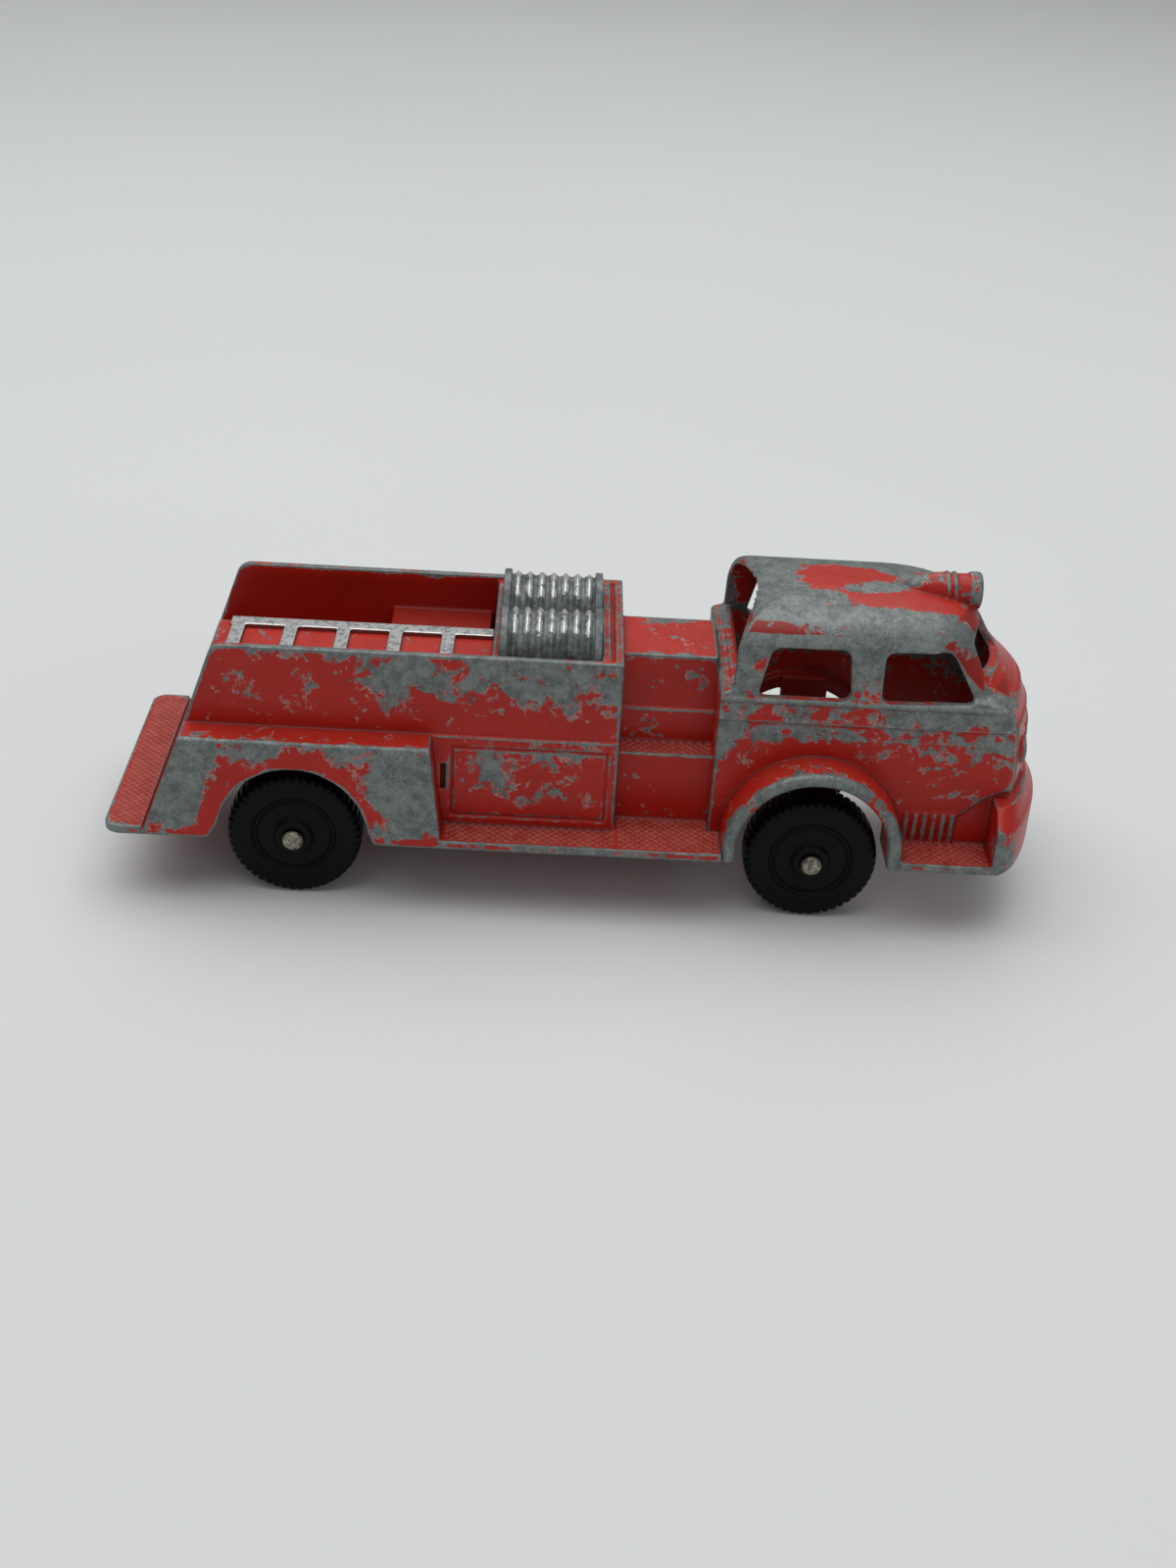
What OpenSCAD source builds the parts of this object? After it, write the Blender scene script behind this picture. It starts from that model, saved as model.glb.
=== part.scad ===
// Die-cast toy fire engine. One hollow cast body rides on two rod axles that
// carry four solid rubber wheels. The body is drawn in its cast sections, which
// meet face to face. X is forward, -Y is the truck's right side, Z is up.
// Stations along the truck are measured from the rear axle; at_truck() shifts
// them so that the origin lies on the ground under the middle of the truck.

/* [Wheels and axles] */
// Outside diameter of a rubber wheel
wheel_d = 25.4; // [25:0.1:25.8]
// Width of a tyre across its tread
tyre_w = 7; // [6.6:0.1:7.2]
// Distance between the two axles
wheelbase = 97.5; // [97:0.1:98]
// Diameter of the axle rods
axle_d = 3.2; // [2.9:0.1:3.3]
// Running clearance between a rod and its bores, on the radius
bore_gap = 0.05; // [0.02:0.01:0.1]
// Diameter of the peened heads that hold the wheels on
head_d = 4; // [3.8:0.1:4.6]

/* [Body] */
// Width over fenders, running boards and bumper
body_w = 53; // [52.6:0.1:54]
// Length of the truck ahead of the front axle
front_overhang = 44.5; // [44.2:0.1:45]
// Length of the truck behind the rear axle
rear_overhang = 34.9; // [34:0.1:36]
// Height of the casting's bottom rim above the ground
rim_z = 13.7; // [13.4:0.1:14]
// Thickness of the running boards and steps
board_t = 1.7; // [1.5:0.1:1.9]
// Wall thickness of the casting
wall = 1.8; // [1.6:0.1:2]

/* [Hose box] */
// Width of the hose box
box_w = 37.8; // [37.6:0.1:38.2]
// Height of the hose box's top edge
box_top_z = 50; // [49.5:0.1:50.5]
// Height of the rear fenders' flat tops
fender_top_z = 33.9; // [33.7:0.1:34.2]
// Height of the shelf that the cast ladder lies on
shelf_z = 45.2; // [45:0.1:45.4]
// Radius of the hose reels
reel_r = 8; // [7.8:0.1:8.2]

/* [Cab] */
// Height of the side window sills
sill_z = 45.2; // [45:0.1:45.6]
// Inside radius of the wheel openings under the front flares
flare_r = 14.2; // [14:0.1:14.4]
// Radial thickness of the front flares
flare_t = 2.7; // [2.4:0.1:2.8]

/* [Hidden] */

$fn = 96;
through = 100; // longer than anything it cuts

red = [0.72, 0.18, 0.14];
zinc = [0.52, 0.54, 0.55];
silver = [0.76, 0.76, 0.75];
rubber = [0.07, 0.07, 0.07];

axle_z = wheel_d / 2;
half_w = body_w / 2;
box_half = box_w / 2;
front_x = wheelbase + front_overhang;
origin_x = (front_x - rear_overhang) / 2;
board_z = rim_z + board_t;

// Stations along the truck
bed_floor_z = fender_top_z;
bed_base_z = bed_floor_z - wall;
tail_foot_x = -27.8;    // foot of the slanted tail
tail_top_x = -20.5;     // where the tail reaches the fender tops
box_rear_x = -15.5;     // top rear corner of the hose box
fender_front_x = 27.6;  // foot of the rear fender's front face
fender_top_x = 25.3;    // top of that face
partition_x = 35.8;     // wall between the hose bed and the reels
reel_x = 37;            // rear end of the reels
reel_end_x = 55.9;      // front end of the reels
box_front_x = 60;       // front face of the hose box
cab_rear_x = 77.9;      // rear face of the cab
step_x = 131;           // front edge of the front steps

// The slanted tail: its X at a height
function tail_x(z) =
    tail_foot_x + (tail_top_x - tail_foot_x) * (z - rim_z) / (fender_top_z - rim_z);

// Points along a circular arc in a drawing plane
function arc(c, r, a0, a1, n = 8) =
    [for (i = [0:n]) c + r * [cos(a0 + (a1 - a0) * i / n), sin(a0 + (a1 - a0) * i / n)]];

module at_truck() translate([-origin_x, 0, 0]) children();

// A box from its lowest to its highest corner
module block(low, high) translate(low) cube(high - low);

// An outline in the X-Z plane, extruded from y0 to y1
module side_plate(y0, y1) translate([0, y1, 0]) rotate([90, 0, 0]) linear_extrude(y1 - y0) children();

// An outline in the Y-Z plane, extruded from x0 to x1
module cross_plate(x0, x1) translate([x0, 0, 0]) rotate([90, 0, 90]) linear_extrude(x1 - x0) children();

// A rod along Y at a station and height
module rod(x, z, r, y0, y1) translate([x, y0, z]) rotate([-90, 0, 0]) cylinder(r = r, h = y1 - y0);

// Draws the left side's part, or its mirror image for the right side
module on_side(side) mirror([0, side == "right" ? 1 : 0, 0]) children();

// ---------------------------------------------------------------- hose box

tray_z = 41.5;         // floor under the reels
deep_y = 1.9;          // inner wall of the deep hose compartment
tail_wall_z = 38;      // low wall that closes the bed at the rear
corner_r = 3;          // rounded top rear corners of the box

module box_outline() polygon(concat(
    [[tail_x(bed_base_z), bed_base_z], [fender_front_x - wall, bed_base_z], [fender_front_x - wall, rim_z]],
    [[box_front_x, rim_z], [box_front_x, box_top_z]],
    arc([box_rear_x + corner_r - 0.3, box_top_z - corner_r], corner_r, 90, 168),
    [[tail_top_x, fender_top_z]]
));

module hose_body() color(red) at_truck() difference() {
    inner = box_half - 1.5;
    hollow = box_half - wall;
    side_plate(-box_half, box_half) box_outline();
    // deep compartment on the left, closed at the tail by a low wall
    block([tail_top_x + wall, deep_y, bed_floor_z], [partition_x, inner, through]);
    block([-through, -inner, shelf_z], [partition_x, inner, through]);
    block([-through, deep_y, tail_wall_z], [partition_x, inner, through]);
    // tray for the reels, and a groove along the front ledge
    block([reel_x, -inner, tray_z], [reel_end_x + 0.1, inner, through]);
    block([partition_x - 1, -inner, box_top_z - 1], [reel_x, inner, through]);
    block([57.6, -inner, box_top_z - 0.6], [58.4, inner, through]);
    // the casting is hollow from below
    block([-14.5, -hollow, 0], [33.8, deep_y - wall, shelf_z - wall]);
    block([0, -hollow, 0], [box_front_x - wall, hollow, bed_base_z]);
    block([reel_x, -hollow, 0], [box_front_x - wall, hollow, tray_z - wall]);
}

module bed_locker() color(red) at_truck()
    block([15.2, 8.5, bed_floor_z], [34.6, box_half - 1.5, 42.3]);

// Ladder cast on the shelf: two rails and six rungs
ladder_rail = 3.2;
rung_pitch = 9.9;
rung_w = 2.6;
ladder_x = -14.1;
first_rung_x = ladder_x + 0.3;
ladder_end_x = 35.7;

module hose_ladder() color(silver) at_truck() {
    top_z = shelf_z + 0.9;
    y0 = -box_half + 1.7;
    y1 = deep_y;
    block([ladder_x, y0, shelf_z], [ladder_end_x, y0 + ladder_rail, top_z]);
    block([ladder_x, y1 - ladder_rail, shelf_z], [ladder_end_x, y1, top_z]);
    for (x = [first_rung_x : rung_pitch : ladder_end_x - rung_w])
        block([x, y0 + ladder_rail, shelf_z], [x + rung_w, y1 - ladder_rail, top_z]);
}

// A wound hose reel: two end flanges and a ribbed drum, cut flat at the tray
reel_y = 8.05;
reel_z = 47.3;
flange_w = 1.5;
reel_ribs = 7;

module reel(side) on_side(side) color(silver) at_truck() difference() {
    length = reel_end_x - reel_x;
    pitch = (length - 2 * flange_w) / reel_ribs;
    translate([reel_x, reel_y, reel_z]) rotate([0, 90, 0]) union() {
        cylinder(r = reel_r - 0.9, h = length);
        for (x = [0, length - flange_w]) translate([0, 0, x]) cylinder(r = reel_r, h = flange_w);
        for (i = [0:reel_ribs - 1]) translate([0, 0, flange_w + (i + 0.2) * pitch])
            cylinder(r = reel_r - 0.3, h = 0.6 * pitch);
    }
    block([0, -through, 0], [through, through, tray_z]);
}

module hose_reel_right() reel("right");
module hose_reel_left() reel("left");

// Locker door along the box side, with an inset line around it and a vent slot
panel_t = 0.6;
line_depth = 0.4;
line_w = 0.7;

module side_panel(side) on_side(side) color(red) at_truck() {
    face = box_half + panel_t;
    line_low = [28.8, 17];
    line_high = [58.3, 32];
    difference() {
        side_plate(box_half, face) polygon([
            [fender_front_x, board_z], [box_front_x, board_z],
            [box_front_x, fender_top_z], [fender_top_x, fender_top_z]
        ]);
        side_plate(face - line_depth, face + 1) difference() {
            translate(line_low) square(line_high - line_low);
            translate(line_low + [line_w, line_w]) square(line_high - line_low - 2 * [line_w, line_w]);
        }
        block([27.1, box_half - 1, 23], [27.8, face + 1, 27.8]);
    }
}

module side_panel_right() side_panel("right");
module side_panel_left() side_panel("left");

// ---------------------------------------------------------------- tail and fenders

module tail_panel() color(red) at_truck() side_plate(-box_half, box_half) polygon([
    [tail_x(rim_z), rim_z], [tail_x(rim_z) + 2, rim_z],
    [tail_x(bed_base_z) + 2, bed_base_z], [tail_x(bed_base_z), bed_base_z]
]);

step_corner_r = 3;

module rear_step() color(red) at_truck() translate([0, 0, rim_z]) linear_extrude(board_t) {
    inner_y = half_w - step_corner_r;
    rear_x = -rear_overhang + step_corner_r;
    translate([rear_x, -half_w]) square([tail_foot_x - rear_x, body_w]);
    translate([-rear_overhang, -inner_y]) square([step_corner_r + 1, 2 * inner_y]);
    for (y = [-inner_y, inner_y]) translate([rear_x, y]) circle(r = step_corner_r);
}

arch_c = [0.2, 14.4];   // centre of the rear wheel opening
arch_r = 14.1;
fender_draft = 1.2;     // how far the fender's side leans in at its top
fender_round = 0.9;     // rounding of its top edge

// The fender seen from the side, and its left half seen from the end
module fender_side(inset) polygon([
    [tail_x(rim_z) + inset, rim_z - inset], [fender_front_x - inset, rim_z - inset],
    [fender_front_x - inset, board_z], [fender_top_x - inset, fender_top_z - inset],
    [tail_x(fender_top_z - inset) + inset, fender_top_z - inset]
]);

module fender_end(inset) {
    round_y = half_w - fender_draft - fender_round - inset;
    polygon(concat(
        [[box_half - inset, rim_z - inset], [half_w - inset, rim_z - inset], [half_w - inset, board_z]],
        arc([round_y, fender_top_z - fender_round - inset], fender_round, 0, 90, 5),
        [[box_half - inset, fender_top_z - inset]]
    ));
}

module fender_block(inset) intersection() {
    side_plate(box_half - inset, half_w) fender_side(inset);
    cross_plate(tail_foot_x, fender_front_x) fender_end(inset);
}

module rear_fender(side) on_side(side) color(red) at_truck() difference() {
    fender_block(0);
    fender_block(wall);
    rod(arch_c[0], arch_c[1], arch_r, half_w - wall - 2, half_w + 1);
    side_plate(half_w - wall - 2, half_w + 1)
        polygon([[-15.6, rim_z - 0.1], [15.4, rim_z - 0.1], [14.2, 16.5], [-13.8, 16.5]]);
}

module rear_fender_right() rear_fender("right");
module rear_fender_left() rear_fender("left");

// ---------------------------------------------------------------- pump housing

shelf_half = 14.3;     // half width over the treaded pump shelf
pump_shelf_z = 29.6;
pump_ledge_z = 36.4;
pump_deck_z = 47.3;
pump_half = 8.3;       // half width of the deck

pump_ledge_half = 9;   // half width at the ledge halfway up

// Left half of the stepped cross-section, from its foot up to the deck
function pump_steps(inset) = [
    [shelf_half - inset, rim_z - inset], [shelf_half - inset, pump_shelf_z - inset],
    [pump_ledge_half - inset, pump_shelf_z - inset], [pump_ledge_half - inset, pump_ledge_z - inset],
    [pump_half - inset, pump_ledge_z - inset], [pump_half - inset, pump_deck_z - inset]
];

function flip_y(points) = [for (i = [len(points) - 1 : -1 : 0]) [-points[i][0], points[i][1]]];

module pump_profile(inset) polygon(concat(pump_steps(inset), flip_y(pump_steps(inset))));

module pump_housing() color(red) at_truck() cross_plate(box_front_x, cab_rear_x) difference() {
    pump_profile(0);
    pump_profile(wall);
}

// ---------------------------------------------------------------- cab

blend_h = 1.2;         // height over which the nose changes its plan at the sills

// Cab stations: height, half width, nose on the centre line, rear face
cab_stations = [
    [rim_z, 17.7, 136.2, cab_rear_x],
    [board_z, 17.7, 136.2, cab_rear_x],
    [22, 18.3, 138.2, cab_rear_x],
    [28, 18.8, 139, cab_rear_x],
    [34, 19, 138.6, cab_rear_x],
    [39, 19.1, 138, cab_rear_x],
    [sill_z, 19.1, 135.2, cab_rear_x],
    [sill_z + blend_h, 18.7, 133.8, 80.2],
    [49.2, 18.3, 131, 80.3],
    [52.5, 17.9, 128.7, 80.4],
    [55.2, 17.3, 127.1, 80.9],
    [57, 16.2, 125.8, 81.6],
    [58.3, 14.7, 124.2, 82.8],
    [59.4, 12.4, 121, 84.6],
    [60.1, 9.8, 117, 86.8],
    [60.6, 6.6, 111.5, 90],
    [60.9, 3, 104.5, 95]
];
nose_steps = 14;

// Below the sills the nose is a shallow bow between rounded corners
bow_depth = 5.3;
bow_power = 1.7;
nose_corner_r = 1.6;
bow_share = 10;        // how many of the steps lie along the bow

// Above them it is a rounder curve
round_depth = 13.5;
round_power = 2.2;

function bow_x(w, x, y) = x - bow_depth * pow(y / w, bow_power);

function square_nose(w, x, i) = let (
        corner_y = w - nose_corner_r,
        y = corner_y * i / bow_share,
        a = 90 * (i - bow_share) / (nose_steps - bow_share)
    ) i <= bow_share
        ? [bow_x(w, x, y), y]
        : [bow_x(w, x, corner_y) - nose_corner_r * (1 - cos(a)), corner_y + nose_corner_r * sin(a)];

function round_nose(w, x, i) = let (a = 90 * i / nose_steps)
    [x - round_depth * (1 - pow(cos(a), 2 / round_power)), w * pow(sin(a), 2 / round_power)];

// Left half of the nose in plan at a station, from its middle to the side
function nose_half(s) = let (share = min(1, max(0, (s[0] - sill_z) / blend_h)))
    [for (i = [0:nose_steps])
        (1 - share) * square_nose(s[1], s[2], i) + share * round_nose(s[1], s[2], i)];

function flip_side(points) = [for (i = [len(points) - 1 : -1 : 0]) [points[i][0], -points[i][1]]];

function cab_plan(s) = let (h = nose_half(s))
    concat([[s[3], -s[1]]], flip_side([for (i = [1:nose_steps]) h[i]]), h, [[s[3], s[1]]]);

// The cab's inner skin: sides step in by the wall, and the roof steps down by it
function turn_in(z) = min(1, max(0, (z - 54) / 6));
function inset(s) = [s[0] - wall * turn_in(s[0]), s[1] - wall * (1 - 0.6 * turn_in(s[0])),
    s[2] - wall * (1 - 0.6 * turn_in(s[0])), s[3] + wall * (1 - 0.6 * turn_in(s[0]))];

// A closed skin over a stack of plan outlines
module skin(stations) {
    rings = [for (s = stations) cab_plan(s)];
    n = len(rings[0]);
    count = len(stations);
    points = [for (i = [0:count - 1]) for (p = rings[i]) [p[0], p[1], stations[i][0]]];
    sides = [for (i = [0:count - 2]) for (k = [0:n - 1]) let (a = i * n + k, b = i * n + (k + 1) % n)
        each [[a, a + n, b + n], [a, b + n, b]]];
    polyhedron(points, concat(
        [[for (k = [0:n - 1]) k]], sides, [[for (k = [n - 1:-1:0]) (count - 1) * n + k]]
    ));
}

module cab_solid() skin(cab_stations);

module cab_hollow() skin(concat(
    [[0, cab_stations[0][1] - wall, cab_stations[0][2] - wall, cab_rear_x + wall]],
    [for (s = cab_stations) inset(s)]
));

// Rounds the corners of a window outline
module soft_corners(r) offset(r = r) offset(delta = -r) children();

module side_windows() {
    soft_corners(1.4) polygon([[84.6, 45], [86.8, 54.4], [101, 54.5], [101.8, 45]]);
    soft_corners(1.4) polygon([[107.4, 44.8], [107.4, 54.4], [119.6, 54.8], [125, 45.3]]);
}

post_half = 0.9;       // half width of the windshield's centre post

module windshield() for (side = [0, 1]) mirror([side, 0])
    soft_corners(1.2) polygon([[post_half, 49.2], [13.9, 49.2], [12, 55], [8.4, 56], [post_half, 56.4]]);

// The cab is open behind, above its sills: the rear edge shows only the wall
module rear_opening() {
    side = [for (s = cab_stations) if (s[0] > sill_z) [inset(s)[1], inset(s)[0]]];
    foot = [[side[0][0], sill_z + 0.7]];
    polygon(concat(foot, side, flip_y(concat(foot, side))));
}

flare_x = wheelbase - 0.4;
flare_z = 16.3;

module cab_shell() color(red) at_truck() difference() {
    cab_solid();
    cab_hollow();
    side_plate(-through, through) side_windows();
    cross_plate(115, 145) windshield();
    cross_plate(cab_rear_x - 1, 90) rear_opening();
    rod(flare_x, flare_z, flare_r + flare_t, -through, through);
    block([flare_x - flare_r - flare_t, -through, 0], [flare_x + flare_r + flare_t, through, flare_z]);
}

// Siren on the roof: a bullet with two rings and a flared front rim
siren_x = 111.8;
siren_z = 60;

module roof_siren() color(red) at_truck() difference() {
    translate([siren_x, 0, siren_z]) rotate([0, 90, 0]) rotate_extrude() polygon(concat(
        [[0, 0]],
        [for (i = [1:8]) [3.2 * sin(90 * i / 8), 7.2 * (1 - cos(90 * i / 8))]],
        [[3.5, 7.4], [3.5, 8], [3.1, 8.2], [3.1, 8.9], [3.5, 9.1], [3.5, 9.7], [3.1, 9.9]],
        [[3.2, 12.3], [3.6, 12.6], [3.6, 14.3], [3.2, 14.6], [2.4, 14.6], [1.6, 13.4], [0, 13.2]]
    ));
    cab_solid();
}

module headlight(side) on_side(side) color(zinc) at_truck() difference() {
    translate([130, 12, 33.4]) rotate([0, 90, 0]) union() {
        cylinder(r = 2.7, h = 6.4);
        cylinder(r = 2.1, h = 6.8);
    }
    cab_solid();
}

module headlight_right() headlight("right");
module headlight_left() headlight("left");

// Half-round flare over a front wheel, with a bull-nosed outer lip
module flare_section() {
    tip = half_w - flare_t / 2;
    translate([flare_r, shelf_half + 0.9]) square([flare_t, tip - shelf_half - 0.9]);
    intersection() {
        translate([flare_r + flare_t / 2, tip]) circle(d = flare_t);
        translate([flare_r, tip]) square(flare_t);
    }
}

module front_fender(side) on_side(side) color(red) at_truck() {
    translate([flare_x, 0, flare_z]) rotate([-90, 0, 0]) rotate([0, 0, 180])
        rotate_extrude(angle = 180) flare_section();
    for (turn = [0, 180]) translate([flare_x, 0, rim_z]) linear_extrude(flare_z - rim_z)
        mirror([turn / 180, 0]) flare_section();
}

module front_fender_right() front_fender("right");
module front_fender_left() front_fender("left");

// ---------------------------------------------------------------- boards and bumper

module running_board(side) on_side(side) color(red) at_truck()
    translate([0, 0, rim_z]) linear_extrude(board_t) {
        end_x = flare_x - flare_r - flare_t;
        translate([fender_front_x, box_half]) square([box_front_x - fender_front_x, half_w - box_half]);
        translate([box_front_x, shelf_half]) square([cab_rear_x - box_front_x, half_w - shelf_half]);
        translate([cab_rear_x, cab_stations[0][1]])
            square([end_x - cab_rear_x, half_w - cab_stations[0][1]]);
    }

module running_board_right() running_board("right");
module running_board_left() running_board("left");

module front_step(side) on_side(side) color(red) at_truck()
    translate([0, 0, rim_z]) linear_extrude(board_t) difference() {
        start_x = flare_x + flare_r + flare_t;
        translate([start_x, 10]) square([step_x - start_x, half_w - 10]);
        polygon(cab_plan(cab_stations[0]));
    }

module front_step_right() front_step("right");
module front_step_left() front_step("left");

// Bumper apron: bowed in plan, upright in front, its top sloping up to the nose
bumper_face_z = 22.3;
bumper_top_z = 26;
bumper_top_half = 22;  // half width of the apron's top edge
bumper_slope = 2.2;    // how far that edge lies behind the face
bumper_bow = 8.1;      // how far the bumper's ends lie behind its middle
bumper_power = 1.8;    // how sharply they do so
bumper_steps = 16;

module bow(front, half, rear) polygon(concat(
    [for (i = [-bumper_steps:bumper_steps]) let (t = i / bumper_steps)
        [front - bumper_bow * pow(abs(t) * half / half_w, bumper_power), t * half]],
    [[rear, half], [rear, -half]]
));

module apron(inset, bottom) hull() {
    translate([0, 0, bottom]) linear_extrude(bumper_face_z - bottom)
        bow(front_x - inset, half_w - inset, step_x + inset);
    translate([0, 0, bumper_top_z - inset - 0.1]) linear_extrude(0.1)
        bow(front_x - bumper_slope - inset, bumper_top_half - inset, step_x + inset);
}

module front_bumper() color(red) at_truck() difference() {
    apron(0, rim_z);
    apron(wall, 0);
    cab_solid();
}

// ---------------------------------------------------------------- running gear

lug_r = 4.6;
lug_t = 2;
lug_outer = shelf_half + 0.9;   // outer faces of the lugs, just inside the wheels

module lug(x, top_z, side) on_side(side) difference() {
    union() {
        rod(x, axle_z, lug_r, lug_outer - lug_t, lug_outer);
        block([x - lug_r, lug_outer - lug_t, axle_z], [x + lug_r, lug_outer, top_z]);
    }
    rod(x, axle_z, axle_d / 2 + bore_gap, 0, through);
}

module front_axle_lugs() color(red) at_truck()
    for (side = ["right", "left"]) lug(wheelbase, flare_z + flare_r + flare_t, side);

module rear_axle_lugs() color(red) at_truck() {
    lug(0, shelf_z - wall, "right");
    lug(0, bed_base_z, "left");
}

hub_y = lug_outer + 0.3;       // inner face of a wheel
boss_y = hub_y + tyre_w + 1.2; // outer face of its hub boss
head_y = boss_y + 0.25;        // inner face of an axle head
head_t = 1.3;

// Rod axle with a domed, peened head at each end
module axle(x) color(zinc) at_truck() {
    rod(x, axle_z, axle_d / 2, -head_y - 0.5, head_y + 0.5);
    for (turn = [0, 180]) translate([x, 0, axle_z]) rotate([turn - 90, 0, 0])
        translate([0, 0, head_y]) rotate_extrude()
            polygon([[0, 0], [head_d / 2, 0], [head_d / 2, 0.5], [head_d / 2 - 0.5, 1.1], [0, head_t]]);
}

module front_axle() axle(wheelbase);
module rear_axle() axle(0);

// Solid rubber wheel: rounded tread, ringed face, raised boss and a plain bore
module wheel(x, side) on_side(side) color(rubber) at_truck()
    translate([x, hub_y, axle_z]) rotate([-90, 0, 0]) rotate_extrude() {
        r = wheel_d / 2;
        bore = axle_d / 2 + bore_gap;
        boss = tyre_w + 1.2;
        polygon([
            [bore, 0], [r - 1.5, 0], [r - 0.4, 0.5], [r, 1.4], [r, tyre_w - 1.7], [r - 0.5, tyre_w - 0.7],
            [r - 1.7, tyre_w], [7.9, tyre_w + 0.2], [7.3, tyre_w - 0.4], [6.7, tyre_w - 0.1],
            [4, tyre_w - 0.1], [3.3, boss - 0.4], [2.9, boss], [bore, boss]
        ]);
    }

module wheel_front_right() wheel(wheelbase, "right");
module wheel_front_left() wheel(wheelbase, "left");
module wheel_rear_right() wheel(0, "right");
module wheel_rear_left() wheel(0, "left");

hose_body();
bed_locker();
hose_ladder();
hose_reel_right();
hose_reel_left();
side_panel_right();
side_panel_left();
tail_panel();
rear_step();
rear_fender_right();
rear_fender_left();
running_board_right();
running_board_left();
pump_housing();
cab_shell();
roof_siren();
headlight_right();
headlight_left();
front_fender_right();
front_fender_left();
front_step_right();
front_step_left();
front_bumper();
front_axle_lugs();
rear_axle_lugs();
front_axle();
rear_axle();
wheel_front_right();
wheel_front_left();
wheel_rear_right();
wheel_rear_left();
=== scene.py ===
"""A worn die-cast toy fire engine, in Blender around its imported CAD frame.

Stations are millimetres along the truck from its rear axle, +X forward, -Y the truck's right side
and Z from the ground. to_row() turns them into the row frame's metres.
"""
import math

import bmesh
import bpy
import numpy as np
from mathutils import Matrix, Vector, noise


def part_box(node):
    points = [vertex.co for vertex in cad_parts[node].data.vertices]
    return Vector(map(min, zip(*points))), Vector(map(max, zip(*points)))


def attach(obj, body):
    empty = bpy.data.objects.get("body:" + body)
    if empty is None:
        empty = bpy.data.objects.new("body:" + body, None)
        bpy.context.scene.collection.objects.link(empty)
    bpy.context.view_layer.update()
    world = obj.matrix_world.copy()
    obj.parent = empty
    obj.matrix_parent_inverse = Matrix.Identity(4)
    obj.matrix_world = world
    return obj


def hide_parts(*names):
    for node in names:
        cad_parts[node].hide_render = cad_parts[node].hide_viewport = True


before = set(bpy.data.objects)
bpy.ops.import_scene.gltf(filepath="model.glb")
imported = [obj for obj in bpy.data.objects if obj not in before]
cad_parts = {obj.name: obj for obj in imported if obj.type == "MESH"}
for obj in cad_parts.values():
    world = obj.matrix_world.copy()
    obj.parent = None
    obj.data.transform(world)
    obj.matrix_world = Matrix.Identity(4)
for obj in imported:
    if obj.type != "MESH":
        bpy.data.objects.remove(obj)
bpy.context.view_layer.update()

MM = 0.001


def middle(node):
    low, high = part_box(node)
    return (low + high) / 2


ZERO_X = middle("rear_axle").x
WHEELBASE = (middle("front_axle").x - ZERO_X) / MM


def to_row(points):
    """Truck millimetres as row metres."""
    row = np.array(points, float).reshape(-1, 3) * MM
    row[:, 0] += ZERO_X
    return row


def to_truck(row):
    """Row metres as truck millimetres."""
    points = np.array(row, float).reshape(-1, 3).copy()
    points[:, 0] -= ZERO_X
    return points / MM


# ---------------------------------------------------------------- camera, light and stage

CAMERA_AZIMUTH = -1.581
CAMERA_ELEVATION = 29.844
CAMERA_ROLL = 3.635
CAMERA_PLACE = (45.497, -352.182, 216.235)
CAMERA_LENS = 47.15
SENSOR = 36.0


def make_camera():
    azimuth, elevation, roll = (math.radians(a) for a in (CAMERA_AZIMUTH, CAMERA_ELEVATION, CAMERA_ROLL))
    back = Vector((
        math.sin(azimuth) * math.cos(elevation),
        -math.cos(azimuth) * math.cos(elevation),
        math.sin(elevation),
    ))
    level = Vector((math.cos(azimuth), math.sin(azimuth), 0))
    upright = back.cross(level)
    right = level * math.cos(roll) + upright * math.sin(roll)
    up = upright * math.cos(roll) - level * math.sin(roll)
    data = bpy.data.cameras.new("camera")
    data.sensor_width = SENSOR
    data.lens = CAMERA_LENS
    data.clip_start = 0.01
    data.clip_end = 20
    camera = bpy.data.objects.new("camera", data)
    place = Matrix((right, up, back)).transposed().to_4x4()
    place.translation = Vector(to_row(CAMERA_PLACE)[0])
    camera.matrix_world = place
    bpy.context.scene.collection.objects.link(camera)
    bpy.context.scene.camera = camera


make_camera()


def area_light(name, place, aim, size, power, colour):
    data = bpy.data.lights.new(name, "AREA")
    data.shape = "RECTANGLE"
    data.size, data.size_y = size
    data.energy = power
    data.color = colour
    light = bpy.data.objects.new(name, data)
    light.location = place
    light.rotation_mode = "QUATERNION"
    light.rotation_quaternion = (Vector(aim) - Vector(place)).to_track_quat("-Z", "Y")
    bpy.context.scene.collection.objects.link(light)


def make_lights():
    area_light(
        "overhead", place=(-0.08, 0.16, 1.00), aim=(0, 0.02, 0),
        size=(1.7, 1.4), power=13.6, colour=(1.0, 1.0, 1.0),
    )
    area_light(
        "front_fill", place=(0.35, -0.9, 0.55), aim=(0, 0, 0.03),
        size=(0.8, 0.6), power=0.9, colour=(1.0, 0.99, 0.98),
    )
    world = bpy.data.worlds.new("studio")
    world.use_nodes = True
    sky = world.node_tree.nodes["Background"]
    sky.inputs["Color"].default_value = (0.97, 0.99, 1.0, 1)
    sky.inputs["Strength"].default_value = 0.30
    bpy.context.scene.world = world
    bpy.context.scene.view_settings.view_transform = "Standard"


make_lights()

# ---------------------------------------------------------------- mesh tools

# For an outline drawn across an axis: where its two coordinates and its depth go
DRAWN_ACROSS = {"x": (1, 2, 0), "y": (0, 2, 1), "z": (0, 1, 2)}


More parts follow.
